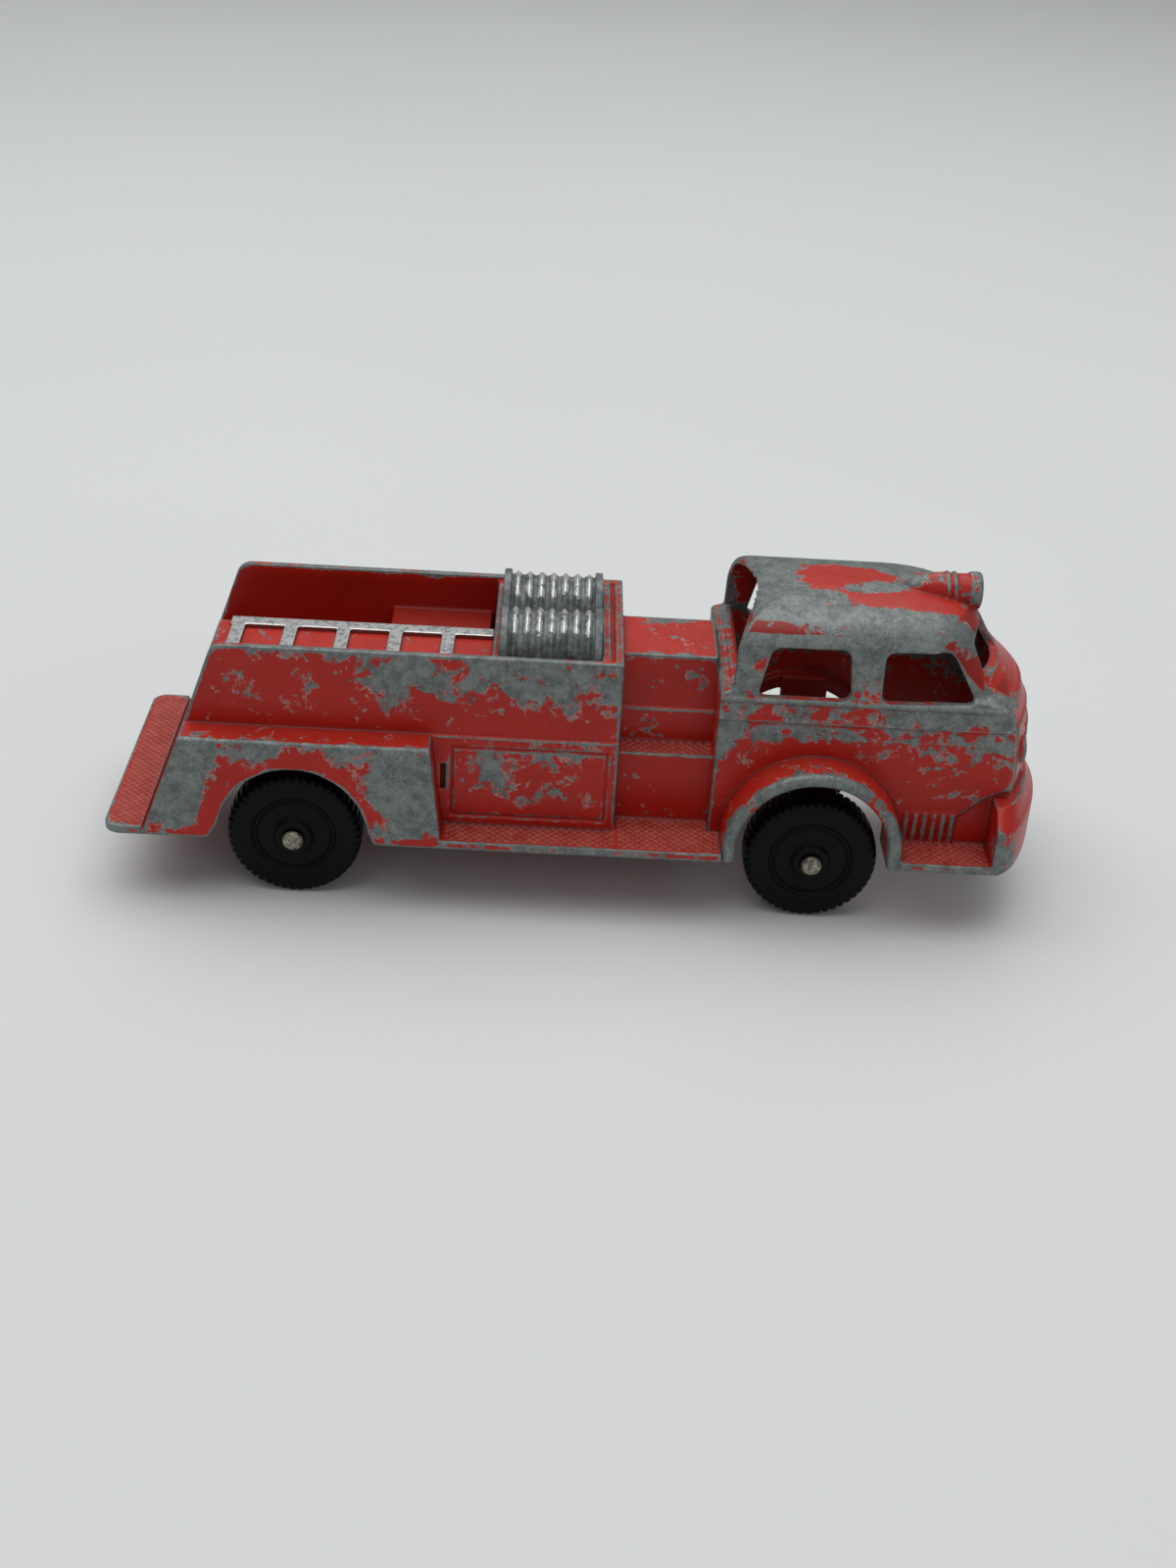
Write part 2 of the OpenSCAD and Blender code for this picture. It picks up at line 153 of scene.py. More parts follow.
def new_object(name, points, faces):
    """A closed mesh from truck millimetres, its normals outward."""
    mesh = bpy.data.meshes.new(name)
    mesh.from_pydata(to_row(points).tolist(), [], faces)
    build = bmesh.new()
    build.from_mesh(mesh)
    bmesh.ops.remove_doubles(build, verts=build.verts, dist=1e-7)
    bmesh.ops.recalc_face_normals(build, faces=build.faces)
    build.to_mesh(mesh)
    build.free()
    piece = bpy.data.objects.new(name, mesh)
    bpy.context.scene.collection.objects.link(piece)
    return piece


def loft(rings):
    """A closed skin over rings of equal length, capped at both ends."""
    count, size = len(rings), len(rings[0])
    faces = [list(range(size))[::-1], [(count - 1) * size + k for k in range(size)]]
    for i in range(count - 1):
        for k in range(size):
            a, b = i * size + k, i * size + (k + 1) % size
            faces.append([a, b, b + size, a + size])
    return new_object("solid", np.concatenate(rings), faces)


def prism(outline, axis, low, high):
    """An outline drawn across an axis, from low to high along it."""
    a, b, c = DRAWN_ACROSS[axis]
    rings = []
    for depth in (low, high):
        ring = np.zeros((len(outline), 3))
        ring[:, [a, b]] = outline
        ring[:, c] = depth
        rings.append(ring)
    return loft(rings)


def block(low, high):
    (x0, y0, z0), (x1, y1, z1) = low, high
    return prism([(x0, y0), (x1, y0), (x1, y1), (x0, y1)], "z", z0, z1)


def revolve(profile, axis, centre, steps=128, shape=None):
    """A closed profile of (radius, depth) turned about an axis.

    shape(radius, depth, turn), if given, returns the radius to use at each point.
    """
    a, b, c = DRAWN_ACROSS[axis]
    turns = np.linspace(0, 2 * math.pi, steps, endpoint=False)
    profile = np.array(profile, float)
    count = len(profile)
    points = np.zeros((steps, count, 3))
    radius = np.repeat(profile[None, :, 0], steps, axis=0)
    depth = np.repeat(profile[None, :, 1], steps, axis=0)
    if shape:
        radius = shape(radius, depth, turns[:, None])
    points[:, :, a] = centre[a] + radius * np.cos(turns)[:, None]
    points[:, :, b] = centre[b] + radius * np.sin(turns)[:, None]
    points[:, :, c] = centre[c] + depth
    faces = []
    for i in range(steps):
        for k in range(count):
            p, q = i * count, (i + 1) % steps * count
            faces.append([p + k, p + (k + 1) % count, q + (k + 1) % count, q + k])
    return new_object("solid", points.reshape(-1, 3), faces)


def rounded(outline, radius, steps=6):
    """An outline's points with each corner rounded by a quadratic curve."""
    outline = np.array(outline, float)
    points = []
    for i, corner in enumerate(outline):
        before = outline[i - 1] - corner
        after = outline[(i + 1) % len(outline)] - corner
        start = corner + before / np.linalg.norm(before) * radius
        end = corner + after / np.linalg.norm(after) * radius
        for t in np.linspace(0, 1, steps):
            points.append((1 - t) ** 2 * start + 2 * t * (1 - t) * corner + t**2 * end)
    return np.array(points)


def apply_modifiers(piece):
    graph = bpy.context.evaluated_depsgraph_get()
    mesh = bpy.data.meshes.new_from_object(piece.evaluated_get(graph))
    piece.modifiers.clear()
    piece.data = mesh


def boolean(piece, tool, operation):
    """Joins, cuts or keeps the overlap of two closed pieces, and discards the tool."""
    change = piece.modifiers.new("boolean", "BOOLEAN")
    change.solver = "MANIFOLD"
    change.operation = operation
    change.object = tool
    apply_modifiers(piece)
    bpy.data.objects.remove(tool)
    return piece


def cad_copy(node):
    """A closed copy of a CAD node's mesh, to build a finer piece from."""
    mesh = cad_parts[node].data.copy()
    mesh.materials.clear()
    build = bmesh.new()
    build.from_mesh(mesh)
    bmesh.ops.remove_doubles(build, verts=build.verts, dist=2e-6)
    build.to_mesh(mesh)
    build.free()
    piece = bpy.data.objects.new(node + "_copy", mesh)
    bpy.context.scene.collection.objects.link(piece)
    return piece


def vertices(mesh):
    flat = np.empty(len(mesh.vertices) * 3)
    mesh.vertices.foreach_get("co", flat)
    return to_truck(flat)


def normals(mesh):
    flat = np.empty(len(mesh.vertices) * 3)
    mesh.vertex_normals.foreach_get("vector", flat)
    return flat.reshape(-1, 3)


def move_vertices(mesh, points):
    mesh.vertices.foreach_set("co", to_row(points).reshape(-1))
    mesh.update()


def soften(piece, voxel, rounds):
    """Remeshes a piece evenly and rounds its edges off, as a worn mould and paint do."""
    remesh = piece.modifiers.new("remesh", "REMESH")
    remesh.mode = "VOXEL"
    remesh.voxel_size = voxel * MM
    apply_modifiers(piece)
    smooth = piece.modifiers.new("smooth", "SMOOTH")
    smooth.factor = 0.5
    smooth.iterations = rounds
    apply_modifiers(piece)


def thin_out(piece, faces):
    """Collapses flat stretches until about this many triangles are left."""
    triangles = sum(len(p.vertices) - 2 for p in piece.data.polygons)
    if triangles > faces:
        collapse = piece.modifiers.new("thin", "DECIMATE")
        collapse.ratio = faces / triangles
        apply_modifiers(piece)


def averaged(values, edges, rounds):
    """Values averaged with their neighbours' along the mesh's edges, again and again."""
    count = len(values)
    a, b = edges[:, 0], edges[:, 1]
    share = np.bincount(a, minlength=count) + np.bincount(b, minlength=count) + 1.0
    for _ in range(rounds):
        total = values.copy()
        for k in range(values.shape[1]):
            total[:, k] += np.bincount(a, values[b, k], count) + np.bincount(b, values[a, k], count)
        values = total / share[:, None]
    return values


def ridges(mesh, rounds):
    """How far each vertex stands out of its surroundings, in mm: above 0 on edges, below 0 in corners."""
    edges = np.empty(len(mesh.edges) * 2, int)
    mesh.edges.foreach_get("vertices", edges)
    points = vertices(mesh)
    return np.einsum("ij,ij->i", points - averaged(points, edges.reshape(-1, 2), rounds), normals(mesh))


def set_attribute(mesh, name, values):
    layer = mesh.attributes.new(name, "FLOAT", "POINT")
    layer.data.foreach_set("value", np.ascontiguousarray(values, np.float32))


def step_up(low, high, values):
    """Rises smoothly from 0 at low to 1 at high."""
    t = np.clip((values - low) / (high - low), 0, 1)
    return t * t * (3 - 2 * t)


def finish_piece(piece, name, body, material, replaced=()):
    piece.name = name
    piece.data.name = name
    piece.data.materials.clear()
    piece.data.materials.append(material)
    piece.data.polygons.foreach_set("use_smooth", [True] * len(piece.data.polygons))
    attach(piece, body)
    if replaced:
        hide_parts(*replaced)


# ---------------------------------------------------------------- materials


class Graph:
    """A material's node tree, written as short calls that return output sockets."""

    def __init__(self, name):
        self.material = bpy.data.materials.new(name)
        self.material.use_nodes = True
        self.tree = self.material.node_tree
        self.tree.nodes.clear()
        self.shader = self.tree.nodes.new("ShaderNodeBsdfPrincipled")
        output = self.tree.nodes.new("ShaderNodeOutputMaterial")
        self.tree.links.new(self.shader.outputs["BSDF"], output.inputs["Surface"])
        self.place = self.tree.nodes.new("ShaderNodeTexCoord").outputs["Object"]

    def plug(self, value, socket):
        if isinstance(value, bpy.types.NodeSocket):
            self.tree.links.new(value, socket)
        elif isinstance(value, tuple) and len(value) == 3 and socket.type == "RGBA":
            socket.default_value = (*value, 1)
        else:
            socket.default_value = value

    def math(self, operation, *values, clamp=False):
        node = self.tree.nodes.new("ShaderNodeMath")
        node.operation = operation
        node.use_clamp = clamp
        for value, socket in zip(values, node.inputs):
            self.plug(value, socket)
        return node.outputs[0]

    def add(self, a, b):
        return self.math("ADD", a, b)

    def times(self, a, b):
        return self.math("MULTIPLY", a, b)

    def rise(self, value, low, high):
        """0 below low, 1 above high, smooth between."""
        node = self.tree.nodes.new("ShaderNodeMapRange")
        node.interpolation_type = "SMOOTHSTEP"
        self.plug(value, node.inputs["Value"])
        node.inputs["From Min"].default_value = low
        node.inputs["From Max"].default_value = high
        return node.outputs["Result"]

    def mix(self, share, a, b):
        node = self.tree.nodes.new("ShaderNodeMix")
        node.data_type = "RGBA"
        self.plug(share, node.inputs["Factor"])
        self.plug(a, node.inputs["A"])
        self.plug(b, node.inputs["B"])
        return node.outputs["Result"]

    def blend(self, share, a, b):
        """A number between a and b."""
        node = self.tree.nodes.new("ShaderNodeMix")
        node.data_type = "FLOAT"
        self.plug(share, node.inputs["Factor"])
        self.plug(a, node.inputs["A"])
        self.plug(b, node.inputs["B"])
        return node.outputs["Result"]

    def noise(self, size, detail=4.0, roughness=0.6, distortion=0.0, seed=0.0):
        """Noise with features of about size mm."""
        node = self.tree.nodes.new("ShaderNodeTexNoise")
        node.noise_dimensions = "4D"
        node.inputs["Scale"].default_value = 1 / (size * MM)
        node.inputs["Detail"].default_value = detail
        node.inputs["Roughness"].default_value = roughness
        node.inputs["Distortion"].default_value = distortion
        node.inputs["W"].default_value = seed
        self.tree.links.new(self.place, node.inputs["Vector"])
        return node.outputs["Fac"]

    def cells(self, size):
        """Distance to the nearest of many scattered points, about size mm apart, as a share of size."""
        node = self.tree.nodes.new("ShaderNodeTexVoronoi")
        node.inputs["Scale"].default_value = 1 / (size * MM)
        self.tree.links.new(self.place, node.inputs["Vector"])
        return node.outputs["Distance"]

    def attribute(self, name):
        node = self.tree.nodes.new("ShaderNodeAttribute")
        node.attribute_name = name
        return node.outputs["Fac"]

    def facing_up(self):
        """The surface normal's upward share."""
        normal = self.tree.nodes.new("ShaderNodeNewGeometry").outputs["Normal"]
        split = self.tree.nodes.new("ShaderNodeSeparateXYZ")
        self.tree.links.new(normal, split.inputs[0])
        return split.outputs["Z"]

    def bump(self, height, depth, under=None):
        node = self.tree.nodes.new("ShaderNodeBump")
        node.inputs["Strength"].default_value = 1.0
        node.inputs["Distance"].default_value = depth * MM
        self.plug(height, node.inputs["Height"])
        if under is not None:
            self.tree.links.new(under, node.inputs["Normal"])
        return node.outputs["Normal"]

    def surface(self, colour, roughness, metallic, normal=None):
        self.plug(colour, self.shader.inputs["Base Color"])
        self.plug(roughness, self.shader.inputs["Roughness"])
        self.plug(metallic, self.shader.inputs["Metallic"])
        if normal is not None:
            self.plug(normal, self.shader.inputs["Normal"])
        return self.material


RED = (0.40, 0.012, 0.005)
RED_DEEP = (0.24, 0.005, 0.003)
RED_DUSTY = (0.58, 0.14, 0.10)
PAINTED_SHADE = (0.060, 0.007, 0.006)
ZINC = (0.205, 0.228, 0.220)
ZINC_DARK = (0.110, 0.126, 0.124)
ZINC_BRIGHT = (0.50, 0.52, 0.50)
# dark red laid on as painted shade in hollows, inside the body and in tread cells
ZINC_PIT = (0.040, 0.046, 0.046)
CHIP_EDGE = (0.46, 0.42, 0.40)


def zinc_colour(g):
    """Bare zinc, dulled in blotches, with bright rubbed specks."""
    blotch = g.rise(g.noise(2.2, 7, 0.72, seed=3.0), 0.36, 0.62)
    specks = g.rise(g.noise(0.34, 2, 0.6, seed=8.0), 0.56, 0.70)
    pits = g.rise(g.noise(0.45, 2, 0.6, seed=13.0), 0.60, 0.72)
    metal = g.mix(g.times(pits, 0.6), g.mix(blotch, ZINC_DARK, ZINC), ZINC_PIT)
    return g.mix(g.times(specks, 0.4), metal, ZINC_BRIGHT)


def cast_paint_material():
    """Red enamel over zinc: bare where the wear attribute and broken noise say so."""
    g = Graph("worn_red_enamel")
    broad = g.noise(6.0, 7, 0.68, 0.8, seed=1.0)
    ragged = g.noise(1.9, 5, 0.62, 0.4, seed=2.0)
    field = g.add(g.attribute("wear"), g.times(g.add(broad, -0.5), 3.0))
    field = g.add(field, g.times(g.add(ragged, -0.5), 1.5))
    nicks = g.math("SUBTRACT", 1.0, g.rise(g.cells(2.7), 0.05, 0.2))
    field = g.add(field, g.times(nicks, g.times(g.rise(g.attribute("wear"), -0.3, 0.2), 0.6)))
    bare = g.rise(field, 0.495, 0.505)
    rim = g.times(g.rise(field, 0.36, 0.48), g.math("SUBTRACT", 1.0, bare))
    rim = g.times(rim, g.rise(g.noise(2.2, 3, seed=5.0), 0.38, 0.62))

    shade = g.rise(g.noise(9.0, 3, 0.5, seed=6.0), 0.3, 0.75)
    red = g.mix(g.times(shade, 0.35), RED, RED_DEEP)
    dust = g.times(g.rise(g.facing_up(), 0.35, 0.95), g.rise(g.noise(3.0, 5, 0.7, seed=7.0), 0.15, 0.8))
    # treads are lightened much more: dust, and a painted highlight on the tread pattern
    dust = g.times(dust, g.math("ADD", 0.16, g.times(g.attribute("tread"), 0.6), clamp=True))
    red = g.mix(dust, red, RED_DUSTY)
    # painted shade in the treads' pressed cells, darkening them against the ridges
    red = g.mix(g.times(g.attribute("cell"), 0.7), red, PAINTED_SHADE)
    # painted shade in hollows and inside the cab and body, set by the wear pass
    red = g.mix(g.times(g.attribute("hollow_shade"), 0.8), red, PAINTED_SHADE)
    red = g.mix(g.times(rim, 0.75), red, CHIP_EDGE)
    # bare zinc takes the same painted shade in hollows
    metal = g.mix(g.times(g.attribute("hollow_shade"), 0.6), zinc_colour(g), ZINC_DARK)

    paint_height = g.math("SUBTRACT", 1.0, g.rise(field, 0.47, 0.53))
    grain = g.noise(0.5, 3, 0.6, seed=9.0)
    normal = g.bump(paint_height, 0.10)
    normal = g.bump(grain, 0.05, under=normal)
    roughness = g.blend(bare, g.blend(dust, 0.34, 0.62), g.blend(g.noise(1.1, 3), 0.42, 0.66))
    g.plug(0.3, g.shader.inputs["Specular IOR Level"])
    return g.surface(g.mix(bare, red, metal), roughness, g.times(bare, 0.55), normal)


def silver_material(name, worn_colour):
    """Sprayed silver over the red enamel: bright where shine is high, rubbed to the red where rust is."""
    g = Graph(name)
    broken = g.noise(1.4, 6, 0.72, 0.4, seed=4.0)
    shine = g.add(g.attribute("shine"), g.times(g.add(broken, -0.5), 2.2))
    silver = g.rise(shine, 0.44, 0.58)
    stain = g.noise(0.9, 4, 0.7, seed=11.0)
    red = g.rise(g.add(g.attribute("rust"), g.times(g.add(stain, -0.5), 1.0)), 0.42, 0.62)
    dull = g.mix(g.rise(g.noise(1.8, 4, 0.6, seed=12.0), 0.35, 0.7), worn_colour, ZINC)
    colour = g.mix(silver, dull, (0.60, 0.60, 0.59))
    colour = g.mix(g.times(red, 0.9), colour, (0.15, 0.022, 0.016))
    normal = g.bump(broken, 0.10)
    return g.surface(colour, g.blend(silver, 0.55, 0.33), g.blend(silver, 0.45, 0.7), normal)


def rubber_material():
    """Black moulded rubber, matt with a little dust in the pattern."""
    g = Graph("dusty_black_rubber")
    dust = g.rise(g.noise(1.7, 5, 0.7), 0.5, 0.85)
    specks = g.rise(g.noise(0.35, 2, 0.5, seed=2.0), 0.68, 0.78)
    colour = g.mix(g.times(dust, 0.25), (0.0025, 0.0025, 0.003), (0.012, 0.012, 0.013))
    colour = g.mix(g.times(specks, 0.12), colour, (0.06, 0.06, 0.055))
    normal = g.bump(g.noise(0.4, 3, seed=4.0), 0.04)
    g.plug(0.12, g.shader.inputs["Specular IOR Level"])
    return g.surface(colour, g.blend(dust, 0.48, 0.7), 0.0, normal)


def steel_material():
    """Peened rod steel, dulled brown in its hollows."""
    g = Graph("peened_steel")
    stain = g.rise(g.noise(0.9, 4, 0.7), 0.35, 0.65)
    colour = g.mix(stain, (0.42, 0.38, 0.32), (0.10, 0.085, 0.065))
    normal = g.bump(g.noise(0.6, 3, 0.6, seed=3.0), 0.12)
    return g.surface(colour, g.blend(stain, 0.32, 0.6), 0.85, normal)


CAST_PAINT = cast_paint_material()
LADDER_PAINT = silver_material("worn_silver_paint", (0.20, 0.215, 0.22))
REEL_PAINT = silver_material("rubbed_silver_paint", (0.075, 0.085, 0.088))
RUBBER = rubber_material()
STEEL = steel_material()

# ---------------------------------------------------------------- cab casting

VOXEL = 0.24
EDGE_ROUNDS = 4
CAST_FACES = 180_000
WALL = 1.8
RIM_Z = 13.7
SILL_Z = 45.2
HALF_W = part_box("front_bumper")[1].y / MM
NOSE_X = (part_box("front_bumper")[1].x - ZERO_X) / MM
CAB_REAR = 77.9
FLARE_X = WHEELBASE - 0.4
FLARE_Z = 16.3
FLARE_OUTER = 16.9
BLEND_H = 1.2
BOW_DEPTH = 5.3
BOW_POWER = 1.7
NOSE_CORNER = 1.6
ROUND_DEPTH = 13.5
ROUND_POWER = 2.2

# Up the cab: height, half width, nose on the centre line, rear face
CAB_SHAPE = np.array([
    (13.7, 17.7, 136.2, 77.9),
    (15.4, 17.7, 136.2, 77.9),
    (22.0, 18.3, 138.2, 77.9),
    (28.0, 18.8, 139.0, 77.9),
    (34.0, 19.0, 138.6, 77.9),
    (39.0, 19.1, 138.0, 77.9),
    (SILL_Z, 19.1, 135.2, 77.9),
    (46.4, 18.7, 133.8, 80.2),
    (49.2, 18.3, 131.0, 80.3),
    (52.5, 17.9, 128.7, 80.4),
    (55.2, 17.3, 127.1, 80.9),
    (57.0, 16.2, 125.8, 81.6),
    (58.3, 14.7, 124.2, 82.8),
    (59.4, 12.4, 121.0, 84.6),
    (60.1, 9.8, 117.0, 86.8),
    (60.6, 6.6, 111.5, 90.0),
    (60.9, 3.0, 104.5, 95.0),
])


def smooth_rows(rows, steps):
    """Rows along a smooth curve through the given ones, which never overshoots them."""
    gaps = np.linalg.norm(np.diff(rows[:, :3], axis=0), axis=1)
    along = np.concatenate([[0], np.cumsum(gaps)])
    slopes = np.diff(rows, axis=0) / gaps[:, None]
    tangents = np.concatenate([slopes[:1], np.zeros_like(slopes[1:]), slopes[-1:]])
    both = slopes[:-1] * slopes[1:]
    total = slopes[:-1] + slopes[1:]
    tangents[1:-1] = np.where(both > 0, 2 * both / np.where(total == 0, 1, total), 0)
    wanted = np.linspace(0, along[-1], steps)
    i = np.clip(np.searchsorted(along, wanted, "right") - 1, 0, len(gaps) - 1)
    t = ((wanted - along[i]) / gaps[i])[:, None]
    gap = gaps[i][:, None]
    return (
        (2 * t**3 - 3 * t**2 + 1) * rows[i]
        + (t**3 - 2 * t**2 + t) * gap * tangents[i]
        + (3 * t**2 - 2 * t**3) * rows[i + 1]
        + (t**3 - t**2) * gap * tangents[i + 1]
    )


CAB_ROWS = smooth_rows(CAB_SHAPE, 110)


def cab_row(height):
    """The cab's half width, nose and rear face at a height."""
    return [np.interp(height, CAB_ROWS[:, 0], CAB_ROWS[:, k]) for k in (1, 2, 3)]


def square_nose(half, nose, steps):
    """A shallow bow and a rounded corner, from the nose's middle to its side."""
    bow_steps = steps * 2 // 3
    corner_y = half - NOSE_CORNER
    y = np.linspace(0, corner_y, bow_steps)
    x = nose - BOW_DEPTH * (y / half) ** BOW_POWER
    turn = np.linspace(0, math.pi / 2, steps - bow_steps + 1)[1:]
    x = np.concatenate([x, x[-1] - NOSE_CORNER * (1 - np.cos(turn))])
    y = np.concatenate([y, corner_y + NOSE_CORNER * np.sin(turn)])
    return x, y


def round_nose(half, nose, steps):
    turn = np.linspace(0, math.pi / 2, steps)
    x = nose - ROUND_DEPTH * (1 - np.cos(turn) ** (2 / ROUND_POWER))
    y = half * np.sin(turn) ** (2 / ROUND_POWER)
    return x, y


def cab_ring(height, half, nose, rear, steps=44):
    """Plan outline of the cab: a square nose below the sills, a round one above, and a flat rear."""
    share = min(1, max(0, (height - SILL_Z) / BLEND_H))
    (x0, y0), (x1, y1) = square_nose(half, nose, steps), round_nose(half, nose, steps)
    x, y = x0 + share * (x1 - x0), y0 + share * (y1 - y0)
    x = np.concatenate([[rear], x[::-1], x[1:], [rear]])
    y = np.concatenate([[-half], -y[::-1], y[1:], [half]])
    return np.stack([x, y, np.full(len(x), height)], axis=1)


def inner_row(row):
    """The inner skin: the sides step in by the wall and the roof steps down by it."""
    height, half, nose, rear = row
    lean = min(1, max(0, (height - 54) / 6))
    step = WALL * (1 - 0.6 * lean)
    return height - WALL * lean, half - step, nose - step, rear + step


def moulding(height, thick, proud):
    """A raised line round the cab's sides and nose."""
    rings = []
    for lift, out in ((-1, -0.5), (-0.55, 0.7), (0, 1), (0.55, 0.7), (1, -0.5)):
        half, nose, _ = cab_row(height + lift * thick / 2)
        rings.append(cab_ring(height + lift * thick / 2, half + out * proud, nose + out * proud, CAB_REAR))
    return loft(rings)


def mirrored(outline):
    return [(-y, z) for y, z in outline]


SIREN_TIP = (111.8, 0, 60.0)


def siren():
    """A bullet with two rings and a flared front rim, lying along the roof's middle."""
    nose_r, nose_length = 3.2, 7.4
    nose = [
        (nose_r * math.sin(a), nose_length * (1 - math.cos(a))) for a in np.linspace(0, math.pi / 2, 14)
    ]
    rings = [(3.25, 7.6), (3.5, 7.8), (3.5, 8.2), (3.1, 8.5), (3.1, 8.9), (3.5, 9.2), (3.5, 9.6), (3.1, 9.9)]
    rim = [(3.15, 11.9), (3.55, 12.4), (3.6, 13.4), (3.5, 14.3), (3.1, 14.6), (2.5, 14.5)]
    horn = [(1.7, 13.2), (0, 13.0)]
    return revolve(nose + rings + rim + horn, "x", SIREN_TIP)


LAMP_X, LAMP_Y, LAMP_Z = 135.8, 12, 33.4


def headlight(side):
    """A round lamp half sunk in the nose: bezel and domed lens."""
    bezel = [(0, -6), (2.75, -6), (2.75, 0.6), (2.5, 0.95), (2.2, 0.95), (2.0, 0.6)]
    lens = [(2.0 * math.cos(a), 0.6 + 0.75 * math.sin(a)) for a in np.linspace(0.2, math.pi / 2, 8)]
    return revolve(bezel + lens, "x", (LAMP_X, side * LAMP_Y, LAMP_Z), 64)


BUMPER_BOW = 8.1
BUMPER_POWER = 1.8
BUMPER_END = 1.6


def bumper_ring(height, nose, half, rear, steps=48):
    """Plan outline of the bumper: bowed ahead with rounded ends, straight behind."""
    across = np.linspace(-1, 1, steps)
    bow = BUMPER_BOW * np.abs(across * half / HALF_W) ** BUMPER_POWER + BUMPER_END * np.abs(across) ** 16
    x = np.concatenate([nose - bow, [rear, rear]])
    y = np.concatenate([across * half, [half, -half]])
    return np.stack([x, y, np.full(len(x), height)], axis=1)


# Up the bumper: height, how far back from its foremost line, how far in from its side
APRON_SHAPE = [(22.0, 0, 0), (22.7, 0.3, 0.2), (23.3, 0.8, 0.7), (26.0, 2.2, 4.5)]
STEP_X = 131


def apron(inset, foot):
    """The bumper apron: upright in front, its top sloping up to the nose."""
    rear = STEP_X + inset
    rings = [bumper_ring(foot, NOSE_X - inset, HALF_W - inset, rear)]
    for height, back, narrow in APRON_SHAPE:
        rings.append(bumper_ring(height - inset, NOSE_X - inset - back, HALF_W - inset - narrow, rear))
    return loft(rings)


# The front of the cab's side is recessed below a line that curves forward
AHEAD = 150     # anywhere beyond the nose
BESIDE = 30     # anywhere beyond a side
UNDERCUT = [
    (118, 15.4), (126, 22.5), (127.3, 23.8), (128.9, 25.3), (130.3, 26.5), (132.5, 27.5),
    (AHEAD, 27.5), (AHEAD, 15.4),
]
CORNER_GROOVE = [(133.5, 26.5), (AHEAD, 26.5), (AHEAD, 41), (132.2, 41)]
RIB_STATIONS = np.arange(114.8, 124, 1.75)
RIB_W = 0.8


def side_cut(piece, outline, side, near, far):
    """Cuts an outline into one side, between two distances from the truck's middle."""
    boolean(piece, prism(outline, "y", *sorted((side * near, side * far))), "DIFFERENCE")


def nose_details(cab):
    """Recesses beside the nose, an upright groove at each of its corners, and ribs low on the sides."""
    for side in (-1, 1):
        side_cut(cab, UNDERCUT, side, 17.7, BESIDE)
        side_cut(cab, CORNER_GROOVE, side, 15.5, 17.0)
        rib = [(side * 17.2, 15), (side * 18.1, 15), (side * 18.6, 21.8), (side * 17.2, 22.2)]
        for x in RIB_STATIONS:
            boolean(cab, prism(rib, "x", x, x + RIB_W), "UNION")


# Raised lines round the cab: height, thickness, how far proud
SILL_LINE = (SILL_Z - 0.8, 1.3, 0.5)
WAIST_LINE = (40.3, 0.9, 0.35)
LOUVRE_HEIGHTS = np.arange(26.5, 37, 2.0)
LOUVRE_HALF = 8.2

REAR_WINDOW = [(84.6, 45.0), (86.8, 54.4), (101, 54.5), (101.8, 45.0)]
FRONT_WINDOW = [(107.4, 44.9), (107.4, 54.4), (119.6, 54.8), (125, 45.4)]
WINDSHIELD_PANE = [(0.8, 49.2), (13.9, 49.2), (12.0, 55.0), (8.4, 56.0), (0.8, 56.4)]

CAB_FROM_CAD = [
    "front_fender_right", "front_fender_left", "front_step_right", "front_step_left", "front_axle_lugs",
]


def front_louvres(cab):
    """Level bars across the middle of the nose."""
    for height in LOUVRE_HEIGHTS:
        bar = moulding(height, 1.0, 0.5)
        boolean(bar, block((120, -LOUVRE_HALF, 20), (145, LOUVRE_HALF, 40)), "INTERSECT")
        boolean(cab, bar, "UNION")


def cut_windows(cab):
    for window in (REAR_WINDOW, FRONT_WINDOW):
        boolean(cab, prism(rounded(window, 1.8), "y", -BESIDE, BESIDE), "DIFFERENCE")
    for pane in (WINDSHIELD_PANE, mirrored(WINDSHIELD_PANE)):
        boolean(cab, prism(rounded(pane, 1.4), "x", 115, 145), "DIFFERENCE")


def build_cab():
    """The cab casting as one closed solid, still with sharp edges."""
    cab = loft([cab_ring(*row) for row in CAB_ROWS])
    nose_details(cab)
    for line in (SILL_LINE, WAIST_LINE):
        boolean(cab, moulding(*line), "UNION")
    front_louvres(cab)
    boolean(cab, siren(), "UNION")
    for side in (-1, 1):
        boolean(cab, headlight(side), "UNION")
    bumper = apron(0, RIM_Z)
    boolean(bumper, apron(WALL, 0), "DIFFERENCE")
    boolean(cab, bumper, "UNION")

    hollow = [inner_row(row) for row in CAB_ROWS]
    hollow[0] = (0, *hollow[0][1:])
    boolean(cab, loft([cab_ring(*row) for row in hollow]), "DIFFERENCE")
    cut_windows(cab)
    opening = [(row[1], row[0]) for row in hollow if row[0] > SILL_Z + 0.9]
    boolean(cab, prism(opening + mirrored(opening)[::-1], "x", CAB_REAR - 1, 90), "DIFFERENCE")
    arch = [(FLARE_OUTER * math.cos(a) + FLARE_X, FLARE_OUTER * math.sin(a) + FLARE_Z)
            for a in np.linspace(0, math.pi, 64)]
    arch += [(FLARE_X - FLARE_OUTER, 0), (FLARE_X + FLARE_OUTER, 0)]
    boolean(cab, prism(arch, "y", -BESIDE, BESIDE), "DIFFERENCE")
    for node in CAB_FROM_CAD:
        boolean(cab, cad_copy(node), "UNION")
    return cab


# ---------------------------------------------------------------- wear, treads and grime

BASE_WEAR = 0.05
ZONE_STRENGTH = 1.15
SHARP_ROUNDS = 6
BROAD_ROUNDS = 26
TREAD_PITCH = 1.7
TREAD_DEPTH = 0.4
TREAD_SHARPNESS = 6     # the higher, the thinner the ridges between the cells


